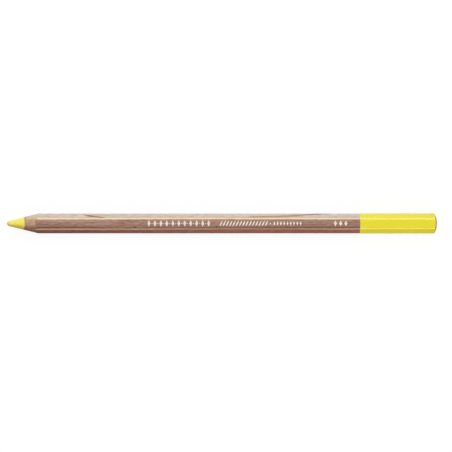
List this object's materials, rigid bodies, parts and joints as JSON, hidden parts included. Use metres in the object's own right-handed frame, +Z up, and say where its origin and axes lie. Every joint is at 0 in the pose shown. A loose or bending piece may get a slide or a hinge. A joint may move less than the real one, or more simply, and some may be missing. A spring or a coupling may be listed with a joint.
{
  "type": "pastel pencil",
  "caption": "Hexagonal wood-cased pastel pencil with a thick pastel core, sharpened to a round point at the front and domed and dipped in lacquer at the rear.",
  "frame": {"origin": "middle of the pencil's length and width, on the surface that its lower flat rests on", "axes": "+X along the pencil from the point towards the dipped end, +Z up through the stamped flat, +Y across the corners"},
  "size_m": [0.175, 0.0082, 0.0074],
  "materials": {
    "pastel": "matte",
    "upper_wood": "satin",
    "lower_wood": "satin",
    "lacquer": "gloss",
    "foil_print": "satin"
  },
  "bodies": {
    "root": {"core": "pastel", "upper_slat": "upper_wood", "lower_slat": "lower_wood", "end_lacquer": "lacquer"}
  },
  "joints": []
}
